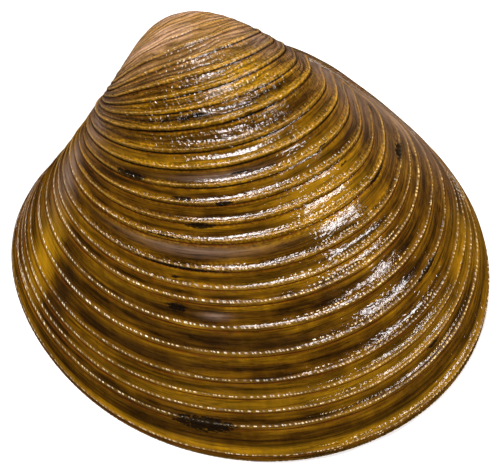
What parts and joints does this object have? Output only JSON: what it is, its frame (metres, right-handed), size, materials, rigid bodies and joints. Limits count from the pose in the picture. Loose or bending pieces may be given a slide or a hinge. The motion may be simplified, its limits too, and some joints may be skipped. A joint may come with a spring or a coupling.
{
  "type": "asian clam shell",
  "caption": "Left valve of an Asian clam: a thin domed shell with rounded concentric growth ribs, a high umbo and a hollow underside, resting on its flat rim.",
  "frame": {"origin": "under the middle of the shell's box, in the plane of the rim that it rests on", "axes": "+Z out of the dome, +Y dorsal towards the beak, -X the clam's front end, +X its rear end"},
  "size_m": [0.028, 0.0288, 0.0095],
  "materials": {
    "shell": "glossy golden-brown horny skin over the ribs, worn pale at the umbo, porcelain white inside"
  },
  "bodies": {
    "root": {"left_valve": "shell"}
  },
  "joints": []
}
